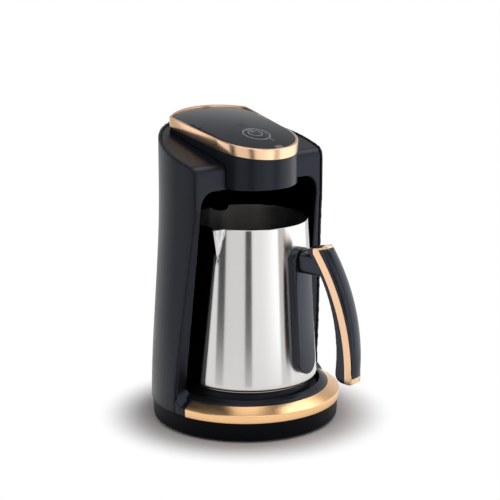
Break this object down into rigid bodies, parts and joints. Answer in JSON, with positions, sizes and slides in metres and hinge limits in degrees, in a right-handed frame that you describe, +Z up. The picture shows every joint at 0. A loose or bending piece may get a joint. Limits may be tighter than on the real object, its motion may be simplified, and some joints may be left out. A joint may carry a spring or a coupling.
{
  "type": "electric turkish coffee maker",
  "caption": "Round heated base with a tower that wraps round a steel coffee jug, an overhanging head with a push button, and a lift-out jug with a long curved handle.",
  "frame": {"origin": "middle of the round base, on the table's surface", "axes": "+Z up, -Y to the front where the jug is drawn out, +X to the right seen from the front"},
  "size_m": [0.15, 0.1826, 0.2412],
  "materials": {
    "plastic_black": "satin moulded",
    "plastic_charcoal": "satin moulded",
    "plastic_deep_black": "matt moulded",
    "handle_black": "satin moulded",
    "panel_gloss_black": "glossy",
    "rose_gold": "polished, rose-gold anodised",
    "jug_steel": "finely brushed round the wall",
    "base_steel": "spun",
    "polished_steel": "polished",
    "zinc_steel": "zinc plated",
    "element_steel": "heat tinted",
    "shield_steel": "pressed sheet",
    "coated_aluminium": "dark coated",
    "rubber_black": "matt",
    "silicone_black": "matt",
    "ceramic_white": "ceramic",
    "board_green": "solder mask",
    "parts_dark": "moulded",
    "switch_grey": "moulded",
    "lead_red": "insulated",
    "lead_grey": "sheathed",
    "clear_ring": "translucent",
    "lens_red": "glossy"
  },
  "bodies": {
    "machine": {"foot_ring": "rubber_black", "base_pan": "plastic_black", "gold_base_trim": "rose_gold", "deck": "plastic_black", "deck_screws": "zinc_steel", "tower_screws": "zinc_steel", "plate_seal": "silicone_black", "hot_plate": "coated_aluminium", "heating_element": "element_steel", "heat_shield": "shield_steel", "plate_screws": "zinc_steel", "thermal_cutout": "ceramic_white", "plate_probe": "polished_steel", "cord_gland": "rubber_black", "tower_shell": "plastic_black", "front_frame": "plastic_charcoal", "cavity_lining": "plastic_deep_black", "bay_roof": "plastic_deep_black", "power_board": "board_green", "power_board_parts": "parts_dark", "board_screws": "zinc_steel", "heater_leads": "lead_red", "control_lead": "lead_grey", "head_housing": "plastic_charcoal", "head_screws": "zinc_steel", "gold_head_band": "rose_gold", "top_panel": "panel_gloss_black", "control_board": "board_green", "panel_screws": "zinc_steel", "button_switch": "switch_grey", "light_ring": "clear_ring", "buzzer": "parts_dark", "foam_sensor_pod": "plastic_deep_black", "foam_sensor_nut": "zinc_steel", "foam_sensor_lens": "lens_red"},
    "power_button": {"power_button": "panel_gloss_black", "switch_plunger": "parts_dark"},
    "jug": {"jug_body": "jug_steel", "jug_base": "base_steel", "jug_studs": "zinc_steel", "handle_bracket": "handle_black", "grip_inner_shell": "handle_black", "grip_gold_inlay": "rose_gold", "grip_outer_shell": "handle_black", "grip_pins": "zinc_steel"}
  },
  "joints": [
    {"name": "button_press", "type": "slide", "parent": "machine", "child": "power_button", "axis": [0, 0.1867, -0.9824], "range_m": [0, 0.001], "stiffness_N_per_m": 1000, "springref_m": -0.0003},
    {"name": "jug_draw_out", "type": "slide", "parent": "machine", "child": "jug", "axis": [0, -1, 0], "range_m": [0, 0.12]}
  ]
}
